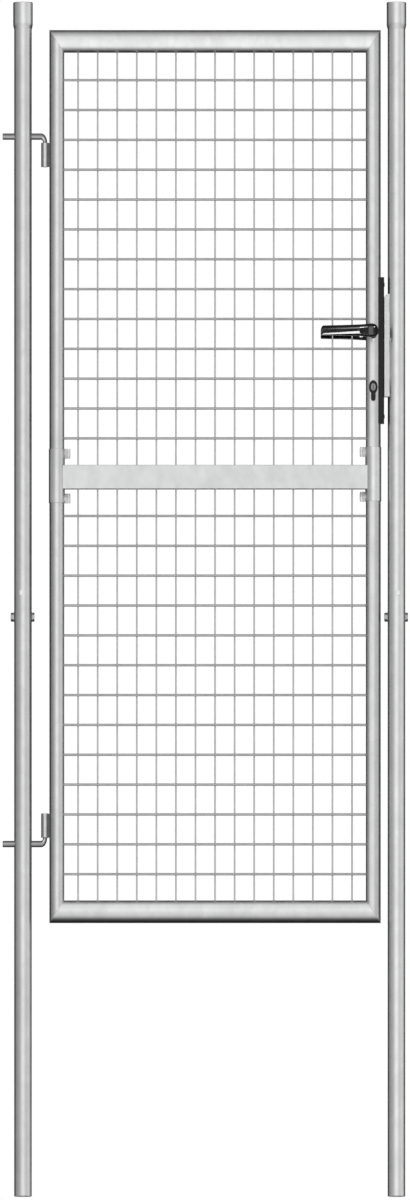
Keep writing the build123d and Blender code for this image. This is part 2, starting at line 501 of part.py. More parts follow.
with BuildPart() as lock_case_cover:
    block(CASE_X0, CASE_X1, -CASE_HALF, -CASE_HALF + 1.0, CASE_Z0, CASE_Z1)
    rod_y(LOCK_X, -20, 0, SPINDLE_Z, 7.0, mode=Mode.SUBTRACT)
    rod_y(LOCK_X, -20, 0, CYL_Z, CYL_R + 0.2, mode=Mode.SUBTRACT)
    block(LOCK_X - CYL_TAIL - 0.2, LOCK_X + CYL_TAIL + 0.2, -20, 0, CYL_LOW - 0.3, CYL_Z, mode=Mode.SUBTRACT)
write(lock_case_cover, "lock_case_cover")

# ------------------------------------------------------------------ latch, deadbolt, follower, spring
TAIL_X0, TAIL_X1 = 424.3, 426.8
ARM_R = 15.0

with BuildPart() as latch_bolt:
    block(443.0, FOREND_X + LATCH_OUT, -LATCH_HALF, LATCH_HALF, LATCH_Z - LATCH_H / 2, LATCH_Z + LATCH_H / 2)
    # closing bevel on the side that meets the keep
    with BuildSketch(Plane.XY.offset(LATCH_Z - LATCH_H)):
        with BuildLine():
            Polyline((FOREND_X + LATCH_OUT + 1, LATCH_HALF + 1), (FOREND_X + 0.3, LATCH_HALF + 1), (FOREND_X + 0.3, LATCH_HALF),
                     (FOREND_X + LATCH_OUT, -LATCH_HALF + 2.5), (FOREND_X + LATCH_OUT + 1, -LATCH_HALF + 2.5), close=True)
        make_face()
    extrude(amount=2 * LATCH_H, mode=Mode.SUBTRACT)
    block(TAIL_X0, 443.0, -3.0, 3.0, 1468.0, 1476.0)
    block(TAIL_X0, TAIL_X1, -3.0, 3.0, SPINDLE_Z + 10.0, 1468.0)
write(latch_bolt, "latch_bolt")

with BuildPart() as deadbolt:
    block(420.0, FOREND_X + BOLT_OUT, -BOLT_HALF, BOLT_HALF, BOLT_Z0, BOLT_Z1)
    fillet(deadbolt.faces().sort_by(Axis.X)[-1].edges(), 0.6)
write(deadbolt, "deadbolt")

with BuildPart() as follower:
    rod_y(LOCK_X, -5.7, 5.7, SPINDLE_Z, 9.0)
    rod_y(LOCK_X, -7.0, 7.0, SPINDLE_Z, 6.92)
    block(LOCK_X - 2.0, LOCK_X + 2.0, -4.0, 4.0, SPINDLE_Z, SPINDLE_Z + ARM_R)
    block(LOCK_X - SPINDLE_SQ / 2 - 0.03, LOCK_X + SPINDLE_SQ / 2 + 0.03, -10, 10,
          SPINDLE_Z - SPINDLE_SQ / 2 - 0.03, SPINDLE_Z + SPINDLE_SQ / 2 + 0.03, mode=Mode.SUBTRACT)
write(follower, "follower")

# folded strip spring between the back of the case and the latch
SPRING_PTS = [(415.4, 1478.6), (415.4, 1491.0), (424.6, 1478.8), (433.4, 1491.0), (442.3, 1478.8), (442.3, 1489.0)]
with BuildPart() as latch_spring:
    with BuildSketch(Plane.XZ.offset(-3)):
        with BuildLine():
            Polyline(*SPRING_PTS)
        trace(line_width=0.6)
    extrude(amount=6)
write(latch_spring, "latch_spring")

# ------------------------------------------------------------------ profile cylinder
with BuildPart() as cylinder_body:
    rod_y(LOCK_X, -CYL_HALF, CYL_HALF, CYL_Z, CYL_R)
    block(LOCK_X - CYL_TAIL, LOCK_X + CYL_TAIL, -CYL_HALF, CYL_HALF, CYL_LOW + CYL_TAIL, CYL_Z)
    rod_y(LOCK_X, -CYL_HALF, CYL_HALF, CYL_LOW + CYL_TAIL, CYL_TAIL)
    block(LOCK_X - 15, LOCK_X + 15, -CAM_HALF - 0.25, CAM_HALF + 0.25, CYL_Z - CAM_TOOTH - 0.5, CYL_Z + 15, mode=Mode.SUBTRACT)
    rod_y(LOCK_X, -CYL_HALF - 1, CYL_HALF + 1, CYL_Z, PLUG_BORE, mode=Mode.SUBTRACT)
    rod_x(LOCK_X - 10, LOCK_X + 10, 0, CYL_SCREW_Z, 2.5, mode=Mode.SUBTRACT)
write(cylinder_body, "cylinder_body")

with BuildPart() as cylinder_plug_front:
    rod_y(LOCK_X, -CYL_HALF, -CAM_HALF, CYL_Z, PLUG_R)
    block(LOCK_X - 0.9, LOCK_X + 0.9, -CYL_HALF - 1, -CAM_HALF - 4, CYL_Z - 4.6, CYL_Z + 3.4, mode=Mode.SUBTRACT)
write(cylinder_plug_front, "cylinder_plug_front")

with BuildPart() as cylinder_plug_rear:
    rod_y(LOCK_X, CAM_HALF + 0.3, CYL_HALF, CYL_Z, PLUG_R)
    block(LOCK_X - 0.9, LOCK_X + 0.9, CAM_HALF + 4, CYL_HALF + 1, CYL_Z - 4.6, CYL_Z + 3.4, mode=Mode.SUBTRACT)
write(cylinder_plug_rear, "cylinder_plug_rear")

with BuildPart() as cylinder_cam:
    rod_y(LOCK_X, -CAM_HALF, CAM_HALF, CYL_Z, CAM_R)
    block(LOCK_X - 2.5, LOCK_X + 2.5, -CAM_HALF, CAM_HALF, CYL_Z - CAM_TOOTH + 0.25, CYL_Z)
write(cylinder_cam, "cylinder_cam")

with BuildPart() as cylinder_screw:
    rod_x(LOCK_X - 4, FOREND_X - 1.9, 0, CYL_SCREW_Z, 2.45)
    with Locations((FOREND_X - 1.05, 0, CYL_SCREW_Z)):
        Cone(2.45, 4.3, 1.9, rotation=(0, 90, 0))
    block(FOREND_X - 0.9, FOREND_X + 1, -0.5, 0.5, CYL_SCREW_Z - 2.2, CYL_SCREW_Z + 2.2, mode=Mode.SUBTRACT)
    block(FOREND_X - 0.9, FOREND_X + 1, -2.2, 2.2, CYL_SCREW_Z - 0.5, CYL_SCREW_Z + 0.5, mode=Mode.SUBTRACT)
write(cylinder_screw, "cylinder_screw")

# keyhole-shaped plates, hollowed to sit on the round of the stile
with BuildPart() as escutcheon_pattern:
    rod_y(0, -25.5, -8.0, 0, 11.2)
    block(-6.2, 6.2, -25.5, -8.0, CYL_LOW - CYL_Z + 5.0, 0)
    rod_y(0, -25.5, -8.0, CYL_LOW - CYL_Z + 5.0, 6.2)
    rod_z(0, 0, -60, 60, TUBE_R + 0.02, mode=Mode.SUBTRACT)
    rod_y(0, -30, 0, 0, CYL_R + 0.08, mode=Mode.SUBTRACT)
    block(-CYL_TAIL - 0.08, CYL_TAIL + 0.08, -30, 0, CYL_LOW - CYL_Z + 5.0, 0, mode=Mode.SUBTRACT)
    rod_y(0, -30, 0, CYL_LOW - CYL_Z + 5.0, CYL_TAIL + 0.08, mode=Mode.SUBTRACT)

with BuildPart() as key_escutcheons:
    with Locations((LOCK_X, 0, CYL_Z)):
        add(escutcheon_pattern.part)
    mirror(about=Plane.XZ)
write(key_escutcheons, "key_escutcheons")

# ------------------------------------------------------------------ lever handle
with BuildPart() as rose_pattern:
    rod_y(0, -23.0, -10.0, 0, 10.5)
    fillet(rose_pattern.edges().filter_by(GeomType.CIRCLE).group_by(Axis.Y)[0], 1.0)
    rod_z(0, 0, -20, 20, TUBE_R + 0.02, mode=Mode.SUBTRACT)
    rod_y(0, -30, 0, 0, JOURNAL_R + 0.08, mode=Mode.SUBTRACT)

with BuildPart() as lever_roses:
    with Locations((LOCK_X, 0, SPINDLE_Z)):
        add(rose_pattern.part)
    mirror(about=Plane.XZ)
write(lever_roses, "lever_roses")

with BuildPart() as lever_front:
    with BuildSketch(Plane.XZ.offset(LEVER_Y0)):
        with Locations((LOCK_X, SPINDLE_Z)):
            Circle(LEVER_HUB_R)
        with BuildLine():
            Polyline((LOCK_X, SPINDLE_Z + LEVER_HUB_R), (LEVER_TIP_X + 3.0, SPINDLE_Z + 9.0), (LEVER_TIP_X, SPINDLE_Z + 4.0),
                     (LEVER_TIP_X, SPINDLE_Z - 7.0), (LOCK_X - 39.0, SPINDLE_Z - 8.0), (LOCK_X, SPINDLE_Z - LEVER_HUB_R), close=True)
        make_face()
    extrude(amount=LEVER_Y1 - LEVER_Y0)
    fillet(lever_front.faces().sort_by(Axis.Y)[0].edges(), 2.0)
    fillet(lever_front.faces().sort_by(Axis.Y)[-1].edges(), 2.0)
    rod_y(LOCK_X, -LEVER_Y0 - 2, -23.3, SPINDLE_Z, NECK_R)
    rod_y(LOCK_X, -24.0, -16.5, SPINDLE_Z, JOURNAL_R)
    block(LOCK_X - SPINDLE_SQ / 2 - 0.03, LOCK_X + SPINDLE_SQ / 2 + 0.03, -LEVER_Y0, 0,
          SPINDLE_Z - SPINDLE_SQ / 2 - 0.03, SPINDLE_Z + SPINDLE_SQ / 2 + 0.03, mode=Mode.SUBTRACT)
    rod_z(LOCK_X, -36.0, SPINDLE_Z - 12, SPINDLE_Z, 2.52, mode=Mode.SUBTRACT)
write(lever_front, "lever_front")

with BuildPart() as lever_rear:
    add(lever_front.part)
    mirror(about=Plane.XZ, mode=Mode.REPLACE)
write(lever_rear, "lever_rear")

with BuildPart() as spindle:
    block(LOCK_X - SPINDLE_SQ / 2, LOCK_X + SPINDLE_SQ / 2, -LEVER_Y0 + 0.5, LEVER_Y0 - 0.5,
          SPINDLE_Z - SPINDLE_SQ / 2, SPINDLE_Z + SPINDLE_SQ / 2)
write(spindle, "spindle")

with BuildPart() as grub_screws:
    for gy in (-36.0, 36.0):
        rod_z(LOCK_X, gy, SPINDLE_Z - NECK_R + 0.6, SPINDLE_Z - SPINDLE_SQ / 2, 2.5)
    for gy in (-36.0, 36.0):
        with Locations((LOCK_X, gy, SPINDLE_Z - NECK_R + 1.6)):
            with BuildSketch(Plane(origin=(LOCK_X, gy, SPINDLE_Z - NECK_R), z_dir=(0, 0, 1)), mode=Mode.PRIVATE) as socket:
                RegularPolygon(1.4, 6)
        extrude(socket.sketch, amount=3.0, mode=Mode.SUBTRACT)
write(grub_screws, "grub_screws")
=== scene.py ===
import bpy
import bmesh
import json
import math
import random
from mathutils import Matrix, Vector, noise


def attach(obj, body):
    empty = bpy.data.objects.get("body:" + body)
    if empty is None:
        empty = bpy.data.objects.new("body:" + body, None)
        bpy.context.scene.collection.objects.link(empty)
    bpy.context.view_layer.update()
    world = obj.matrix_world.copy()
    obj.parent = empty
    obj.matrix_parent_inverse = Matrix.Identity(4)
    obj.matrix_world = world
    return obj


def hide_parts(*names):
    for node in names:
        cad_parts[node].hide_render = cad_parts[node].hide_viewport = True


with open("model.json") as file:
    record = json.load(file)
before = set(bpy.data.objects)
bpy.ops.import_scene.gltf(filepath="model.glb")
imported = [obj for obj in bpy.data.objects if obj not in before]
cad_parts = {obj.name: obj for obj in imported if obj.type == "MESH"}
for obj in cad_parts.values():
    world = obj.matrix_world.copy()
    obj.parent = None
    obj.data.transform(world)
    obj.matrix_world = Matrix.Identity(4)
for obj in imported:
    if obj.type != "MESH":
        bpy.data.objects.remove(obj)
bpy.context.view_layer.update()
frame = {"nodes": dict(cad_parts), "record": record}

NODES = frame["nodes"]
SC = bpy.context.scene
MM = 0.001

# main places, in mm, as in the construction
POST_L, POST_RT, POST_R = -466.0, 488.5, 22.5
STILE_L, STILE_RT, TUBE_R = -379.5, 429.3, 19.0
RAIL_BOT, RAIL_TOP, MID_Z = 476.6, 1934.4, 1204.5
UPRIGHTS = [-325.0 + 50.0 * i for i in range(15)]
CROSS_UP = [MID_Z + 65.0 + 50.0 * i for i in range(13)]
CROSS_LO = [MID_Z - 65.0 - 50.0 * i for i in range(13)]
WIRE_R, WIRE_Y = 2.0, 2.005
HINGE_X, HINGE_UP_Z, HINGE_LO_Z = -409.5, 1775.0, 590.0
BARREL_UP_Z0, BARREL_LO_Z0, BARREL_LEN = 1724.0, 600.5, 40.5
SLEEVE_R, BAR_H, BAR_D = 20.5, 40.0, 30.0
CLAMPS = [(STILE_L, 1.0, MID_Z + 1.9 - 37.5), (STILE_L, 1.0, MID_Z + 1.9 + 37.5), (STILE_RT, -1.0, MID_Z + 4.9 - 37.5), (STILE_RT, -1.0, MID_Z + 4.9 + 37.5)]
KEEP_FRONT, KEEP_REAR, KEEP_Z0, KEEP_Z1 = 14.0, 17.0, 1339.0, 1511.0
LOCK_X, SPINDLE_Z, CYL_Z = 429.3, 1446.5, 1354.5


# ------------------------------------------------------------------ materials
class Nodes:
    """Small helper around one material's node tree."""

    def __init__(self, name):
        self.m = bpy.data.materials.new(name)
        self.m.use_nodes = True
        self.t = self.m.node_tree
        self.t.nodes.clear()
        self.out = self.t.nodes.new("ShaderNodeOutputMaterial")
        self.p = self.t.nodes.new("ShaderNodeBsdfPrincipled")
        self.t.links.new(self.p.outputs[0], self.out.inputs[0])
        self.co = self.t.nodes.new("ShaderNodeTexCoord").outputs["Object"]

    def add(self, kind, **props):
        n = self.t.nodes.new(kind)
        for k, v in props.items():
            setattr(n, k, v)
        return n

    def link(self, a, b):
        self.t.links.new(a, b)

    def scaled(self, sx, sy, sz):
        n = self.add("ShaderNodeMapping")
        n.inputs["Scale"].default_value = (sx, sy, sz)
        self.link(self.co, n.inputs["Vector"])
        return n.outputs[0]

    def noise(self, scale, detail=3.0, rough=0.55, vec=None):
        n = self.add("ShaderNodeTexNoise")
        n.inputs["Scale"].default_value = scale
        n.inputs["Detail"].default_value = detail
        n.inputs["Roughness"].default_value = rough
        self.link(vec or self.co, n.inputs["Vector"])
        return n.outputs["Fac"]

    def voronoi(self, scale, feature="F1", vec=None):
        n = self.add("ShaderNodeTexVoronoi", feature=feature)
        n.inputs["Scale"].default_value = scale
        self.link(vec or self.co, n.inputs["Vector"])
        return n

    def ramp(self, fac, stops):
        n = self.add("ShaderNodeValToRGB")
        e = n.color_ramp.elements
        while len(e) > 1:
            e.remove(e[0])
        e[0].position, e[0].color = stops[0][0], (*stops[0][1], 1.0)
        for pos, col in stops[1:]:
            x = e.new(pos)
            x.color = (*col, 1.0)
        self.link(fac, n.inputs["Fac"])
        return n.outputs["Color"]

    def span(self, fac, a, b, lo=0.0, hi=1.0):
        n = self.add("ShaderNodeMapRange")
        n.inputs["From Min"].default_value = lo
        n.inputs["From Max"].default_value = hi
        n.inputs["To Min"].default_value = a
        n.inputs["To Max"].default_value = b
        self.link(fac, n.inputs["Value"])
        return n.outputs[0]

    def math(self, op, a, b):
        n = self.add("ShaderNodeMath", operation=op)
        for i, v in enumerate((a, b)):
            if isinstance(v, (int, float)):
                n.inputs[i].default_value = v
            else:
                self.link(v, n.inputs[i])
        return n.outputs[0]

    def mix(self, fac, a, b, blend="MIX"):
        n = self.add("ShaderNodeMix", data_type="RGBA", blend_type=blend)
        for sock, v in ((n.inputs[0], fac), (n.inputs[6], a), (n.inputs[7], b)):
            if isinstance(v, (int, float)):
                sock.default_value = v
            elif isinstance(v, tuple):
                sock.default_value = (*v, 1.0)
            else:
                self.link(v, sock)
        return n.outputs[2]

    def bump(self, height, strength, distance):
        n = self.add("ShaderNodeBump")
        n.inputs["Strength"].default_value = strength
        n.inputs["Distance"].default_value = distance
        self.link(height, n.inputs["Height"])
        self.link(n.outputs[0], self.p.inputs["Normal"])

    def set(self, **kw):
        for k, v in kw.items():
            s = self.p.inputs[k.replace("_", " ")]
            if isinstance(v, (int, float)):
                s.default_value = v
            elif isinstance(v, tuple):
                s.default_value = (*v, 1.0)
            else:
                self.link(v, s)


def grey(v, warm=0.0):
    return (v * (1 + warm), v, v * (1 - warm))


def zinc(name, base=0.62, rough=(0.30, 0.46), spangle=70.0, amount=0.10, streak=True, bump=0.10, painted_shade=None, axis="Z"):
    """Zinc-coated steel: crystal spangle, cloudy bloom, fine draw lines and a soft satin.

    The painted-shade tuple = (centre, half span, tones from one end to the other), in mm along the axis, darkens the
    zinc as painted shade where the tube lies in shade.
    """
    n = Nodes(name)
    cells = n.voronoi(spangle)
    tone = n.span(cells.outputs["Color"], 1.0 - amount, 1.0 + amount)
    cloud = n.span(n.noise(9.0, 4.0), 0.96, 1.03, 0.3, 0.7)
    fine = n.noise(420.0, 3.0)
    col = n.ramp(n.noise(26.0, 5.0), [(0.30, grey(base * 0.97, -0.004)), (0.55, grey(base, -0.003)), (0.75, grey(base * 1.03, -0.002))])
    f = n.math("MULTIPLY", tone, cloud)
    comb = n.add("ShaderNodeCombineColor")
    for s in comb.inputs:
        n.link(f, s)
    col = n.mix(1.0, col, comb.outputs[0], "MULTIPLY")
    # painted shade: a tone ramp along one object axis darkens the colour where the tube lies in shade
    if painted_shade:
        z = n.add("ShaderNodeSeparateXYZ")
        n.link(n.co, z.inputs[0])
        shade_pos = n.span(z.outputs[axis], 0.0, 1.0, (painted_shade[0] - painted_shade[1]) * MM, (painted_shade[0] + painted_shade[1]) * MM)
        col = n.mix(1.0, col, n.ramp(shade_pos, [(p, grey(v)) for p, v in painted_shade[2]]), "MULTIPLY")
    r = n.span(n.noise(38.0, 4.0), rough[0], rough[1], 0.3, 0.7)
    r2 = n.math("ADD", r, n.span(cells.outputs["Distance"], -0.02, 0.03, 0.0, 0.6))
    n.set(Base_Color=col, Metallic=1.0, Roughness=r2)
    h = fine
    if streak:
        lines = n.noise(1.0, 2.0, 0.5, n.scaled(1400.0, 1400.0, 14.0))
        h = n.math("ADD", n.math("MULTIPLY", fine, 0.6), n.math("MULTIPLY", lines, 0.4))
    n.bump(h, bump, 0.00025)
    return n.m


def black(name, base=0.012, rough=(0.30, 0.42), grain=900.0, bump=0.06, metallic=0.0, specular=0.5):
    """Black coating or moulding: faint dust, scuffs and fine orange peel."""
    n = Nodes(name)
    dust = n.noise(60.0, 6.0, 0.65)
    scuff = n.noise(1.0, 3.0, 0.6, n.scaled(90.0, 90.0, 700.0))
    col = n.ramp(dust, [(0.30, grey(base * 0.8)), (0.60, grey(base)), (0.85, grey(base * 2.0, 0.02))])
    r = n.math("ADD", n.span(dust, rough[0], rough[1], 0.3, 0.7), n.span(scuff, 0.0, 0.06, 0.5, 0.8))
    n.set(Base_Color=col, Metallic=metallic, Roughness=r, Specular_IOR_Level=specular)
    n.bump(n.noise(grain, 3.0), bump, 0.0002)
    return n.m


M_TUBE = zinc("zinc_tube", 0.68, (0.26, 0.34), 62.0, 0.04)
# a darker copy of the tube zinc for the left posts and the left sleeve: painted shade
M_TUBE_L_SHADED = zinc("zinc_tube_left_shaded", 0.63, (0.26, 0.34), 62.0, 0.04)
# the left stile: a darker copy of the tube zinc, with painted shade along its outer (hinge) side
M_STILE_L_SHADED = zinc("zinc_stile_left_painted_shade", 0.63, (0.26, 0.34), 62.0, 0.04,
                 painted_shade=(STILE_L, 19.0, [(0.0, 0.58), (0.10, 0.60), (0.19, 0.78), (0.30, 0.94), (0.45, 1.0), (1.0, 1.0)]), axis="X")
# the closing stile: a darker copy of the tube zinc, with painted shade along its right side
M_STILE_R_SHADED = zinc("zinc_stile_right_painted_shade", 0.58, (0.26, 0.34), 62.0, 0.04,
                 painted_shade=(STILE_RT, 19.0, [(0.0, 1.0), (0.66, 1.0), (0.80, 0.90), (0.89, 0.76), (1.0, 0.72)]), axis="X")
# the top rail: painted shade along its upper side
M_RAIL_TOP_SHADED = zinc("zinc_rail_top_painted_shade", 0.68, (0.26, 0.34), 62.0, 0.04,
                  painted_shade=(RAIL_TOP, 19.0, [(0.0, 1.0), (0.46, 1.0), (0.60, 0.95), (0.74, 0.82), (0.87, 0.72), (1.0, 0.80)]))
# the bottom rail: painted shade on its underside, darkest at the lower edge
M_RAIL_BOT_SHADED = zinc("zinc_rail_bottom_painted_shade", 0.70, (0.26, 0.34), 62.0, 0.04,
                  painted_shade=(RAIL_BOT, 19.0, [(0.0, 0.30), (0.16, 0.42), (0.24, 0.58), (0.32, 0.66), (0.42, 0.76), (0.52, 0.90), (0.64, 0.98), (1.0, 1.0)]))
# the post caps: painted shade along the lower edge
M_CAP_SHADED = zinc("zinc_cap_painted_shade", 0.68, (0.24, 0.33), 90.0, 0.03, streak=False,
             painted_shade=(1961.0, 9.0, [(0.0, 0.86), (0.40, 0.78), (0.60, 0.84), (0.78, 1.0), (1.0, 1.0)]))
M_WIRE_UP = zinc("zinc_wire_upright", 0.60, (0.36, 0.48), 160.0, 0.06)
# the horizontal wires get a darker copy of the wire zinc: painted shade
M_WIRE_ACROSS_SHADED = zinc("zinc_wire_across_painted_shade", 0.44, (0.40, 0.52), 160.0, 0.06)
M_BAR = zinc("zinc_bar", 0.70, (0.44, 0.54), 48.0, 0.025, streak=False, bump=0.05)
M_SHEET = zinc("zinc_sheet", 0.65, (0.44, 0.54), 48.0, 0.025, streak=False, bump=0.05)
# hardware zinc, darkened: painted shade, set for the bolts that sit between stile and post
M_HARD_SHADED = zinc("zinc_hardware", 0.38, (0.26, 0.36), 140.0, 0.05, streak=False)
# the hinge bolts and barrels get darkened zinc: painted shade near the post; the linked lamp further down gives their
# highlight
M_ROD_SHADED = zinc("zinc_rod_painted_shade", 0.175, (0.20, 0.28), 140.0, 0.05, streak=False)
M_BARREL_SHADED = zinc("zinc_barrel_painted_shade", 0.35, (0.22, 0.30), 140.0, 0.05, streak=False)
M_RIVET = zinc("rivet_aluminium", 0.88, (0.46, 0.56), 200.0, 0.03, streak=False)
# near-black zinc for the lugs between barrel and stile: painted shade in the valley between the two tubes
M_LUG_SHADE = zinc("zinc_lug_painted_shade", 0.105, (0.34, 0.46), 140.0, 0.06, streak=False)
# the clamp screw heads get a lighter copy and the weld nuts next to the sleeve a darker copy of the hardware zinc:
# painted light and painted shade
M_CLAMP_LIT = zinc("zinc_clamp_painted_light", 0.84, (0.42, 0.52), 140.0, 0.05, streak=False)
M_NUT_SHADED = zinc("zinc_weld_nut_painted_shade", 0.62, (0.42, 0.52), 140.0, 0.05, streak=False)
M_STEEL = zinc("lock_steel", 0.45, (0.30, 0.45), 200.0, 0.03)
M_WELD = zinc("weld_bead", 0.50, (0.34, 0.48), 240.0, 0.10, streak=False, bump=0.25)
M_BLACK = black("black_coat", 0.009, (0.34, 0.46), specular=0.25)
M_MOULD = black("black_moulding", 0.009, (0.34, 0.48), grain=1300.0, bump=0.10, specular=0.30)
M_LEVER = black("lever_gloss", 0.001, (0.07, 0.10), grain=300.0, bump=0.003, specular=0.10)
# the cylinder plug is darkened: painted shade on the nickel
M_PLUG_SHADED = zinc("plug_nickel", 0.24, (0.28, 0.38), 300.0, 0.03, streak=False)


def brass(name):
    n = Nodes(name)
    c = n.ramp(n.noise(80.0, 5.0), [(0.3, (0.50, 0.36, 0.14)), (0.6, (0.62, 0.46, 0.20)), (0.85, (0.68, 0.53, 0.27))])
    n.set(Base_Color=c, Metallic=1.0, Roughness=n.span(n.noise(150.0, 4.0), 0.26, 0.42))
    n.bump(n.noise(900.0, 2.0), 0.06, 0.0002)
    return n.m


M_BRASS = brass("cam_brass")

BY_SLOT = {"galvanised_tube": M_TUBE, "post_cap": M_CAP_SHADED, "zinc_hardware": M_HARD_SHADED, "zinc_sheet": M_SHEET, "mesh_wire": M_WIRE_UP,
           "black_metal": M_BLACK, "black_plastic": M_MOULD, "lever_black": M_LEVER, "lock_steel": M_STEEL,
           "plug_nickel": M_PLUG_SHADED, "cam_brass": M_BRASS}
BY_NODE = {"crossbar": M_BAR, "mesh_upper_crosswires": M_WIRE_ACROSS_SHADED, "mesh_lower_crosswires": M_WIRE_ACROSS_SHADED, "hinge_barrels": M_BARREL_SHADED, "hinge_lugs": M_LUG_SHADE,
           "hinge_bolt_upper": M_ROD_SHADED, "hinge_bolt_lower": M_ROD_SHADED, "post_rivets": M_RIVET, "sleeve_nuts": M_NUT_SHADED, "sleeve_screws": M_CLAMP_LIT,
           "top_rail": M_RAIL_TOP_SHADED, "bottom_rail": M_RAIL_BOT_SHADED, "stile_right_upper": M_STILE_R_SHADED, "stile_right_lower": M_STILE_R_SHADED,
           "stile_left_upper": M_STILE_L_SHADED, "stile_left_lower": M_STILE_L_SHADED, "joint_sleeve_left": M_TUBE_L_SHADED, "post_left_upper": M_TUBE_L_SHADED, "post_left_lower": M_TUBE_L_SHADED}
for sub in frame["record"]["subparts"]:
    o = NODES[sub["node"]]
    o.data.materials.clear()
    o.data.materials.append(BY_NODE.get(sub["node"]) or BY_SLOT[sub["material_slot"]])


# ------------------------------------------------------------------ mesh helpers
def mesh_piece(name, verts, faces, mat, body, smooth=True):
    me = bpy.data.meshes.new(name)
    me.from_pydata([Vector(v) * MM for v in verts], [], faces)
    me.validate()
    bm = bmesh.new()
    bm.from_mesh(me)
    bmesh.ops.recalc_face_normals(bm, faces=bm.faces)
    bm.to_mesh(me)
    bm.free()
    for p in me.polygons:
        p.use_smooth = smooth
    me.materials.append(mat)
    ob = bpy.data.objects.new(name, me)
    SC.collection.objects.link(ob)
    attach(ob, body)
    return ob


class Soup:
    """Collects closed shells into one piece."""

    def __init__(self):
        self.v, self.f = [], []

    def put(self, verts, faces):
        k = len(self.v)
        self.v += verts
        self.f += [tuple(i + k for i in f) for f in faces]

    def rings(self, rings, closed=False):
        """Skins a list of equal rings; the ends are capped unless the chain is closed."""
        n = len(rings[0])
        verts = [p for r in rings for p in r]
        faces = []
        m = len(rings)
        for i in range(m if closed else m - 1):
            a, b = i * n, ((i + 1) % m) * n
            for j in range(n):
                k = (j + 1) % n
                faces.append((a + j, a + k, b + k, b + j))
        if not closed:
            faces.append(tuple(range(n - 1, -1, -1)))
            faces.append(tuple((m - 1) * n + j for j in range(n)))
        self.put(verts, faces)

    def tube(self, path, radius, n=10, closed=False, wobble=0.0, seed=0, squash=None):
        """A bead along a path of points, with a slightly uneven radius."""
        pts = [Vector(p) for p in path]
        m = len(pts)
        rings = []
        prev = None
        for i, p in enumerate(pts):
            a = pts[(i - 1) % m] if closed or i else pts[0]
            b = pts[(i + 1) % m] if closed or i < m - 1 else pts[-1]
            t = (b - a).normalized()
            if prev is None:
                side = t.cross(Vector((0, 0, 1)))
                if side.length < 1e-3:
                    side = t.cross(Vector((0, 1, 0)))
                side.normalize()
            else:
                side = (prev - t * prev.dot(t)).normalized()
            prev = side
            up = t.cross(side)
            r = radius * (1.0 + wobble * noise.noise(p * 0.35 + Vector((seed * 7.1, seed * 3.3, 0))))
            if not closed and i in (0, m - 1):
                r *= 0.35
            elif not closed and i in (1, m - 2):
                r *= 0.8
            rings.append([tuple(p + (side * math.cos(u) + up * math.sin(u)) * r) for u in [2 * math.pi * k / n for k in range(n)]])
        self.rings(rings, closed)

    def blob(self, centre, rx, ry, rz, seed=0, rough=0.10, nu=10, nv=6):
        """An uneven ellipsoid, as a spot of weld metal."""
        c = Vector(centre)
        verts = [tuple(c + Vector((0, 0, -rz)))]
        for i in range(1, nv):
            a = math.pi * i / nv
            for j in range(nu):
                b = 2 * math.pi * j / nu
                d = Vector((math.sin(a) * math.cos(b), math.sin(a) * math.sin(b), -math.cos(a)))
                k = 1.0 + rough * noise.noise(d * 1.7 + Vector((seed * 1.37, seed * 0.71, seed * 2.1)))
                verts.append(tuple(c + Vector((d.x * rx, d.y * ry, d.z * rz)) * k))
        verts.append(tuple(c + Vector((0, 0, rz))))
        faces = []
        for j in range(nu):
            faces.append((0, 1 + (j + 1) % nu, 1 + j))
        for i in range(nv - 2):
            for j in range(nu):
                a = 1 + i * nu + j
                b = 1 + i * nu + (j + 1) % nu
                faces.append((a, b, b + nu, a + nu))
        last = len(verts) - 1
        base = 1 + (nv - 2) * nu
        for j in range(nu):
            faces.append((base + j, base + (j + 1) % nu, last))
        self.put(verts, faces)

    def piece(self, name, mat, body):
        return mesh_piece(name, self.v, self.f, mat, body)


def arc(cx, cy, r, a0, a1, n):
    return [(cx + r * math.cos(a0 + (a1 - a0) * i / n), cy + r * math.sin(a0 + (a1 - a0) * i / n)) for i in range(n + 1)]


# ------------------------------------------------------------------ welded mesh: nuggets at the crossings, spots at the wire ends
for half, rows in (("upper", CROSS_UP), ("lower", CROSS_LO)):
    nug = Soup()
    k = 0
    for z in rows:
        for x in UPRIGHTS:
            nug.blob((x, 0.0, z), 2.5, 1.35, 2.5, seed=k, rough=0.12, nu=8, nv=4)
            k += 1
    nug.piece("mesh_nuggets_" + half, M_WIRE_UP, "leaf")
    ends = Soup()
    reach = math.sqrt(TUBE_R ** 2 - WIRE_Y ** 2)
    for z in rows:
        for x, side in ((STILE_L, 1.0), (STILE_RT, -1.0)):
            k += 1
            ends.blob((x + side * (reach - 0.15), -WIRE_Y, z), 0.9, 2.9, 3.0, seed=k, rough=0.16, nu=12, nv=6)
    for x in UPRIGHTS:
        k += 1
        rail, way = (RAIL_TOP, -1.0) if half == "upper" else (RAIL_BOT, 1.0)
        ends.blob((x, WIRE_Y, rail + way * (reach - 0.15)), 2.9, 2.9, 0.9, seed=k, rough=0.16, nu=12, nv=6)
        way = 1.0 if half == "upper" else -1.0
        ends.blob((x, WIRE_Y, MID_Z + way * (BAR_H / 2 + 0.1)), 2.9, 2.9, 0.8, seed=k + 500, rough=0.16, nu=12, nv=6)
    ends.piece("mesh_end_welds_" + half, M_WELD, "leaf")

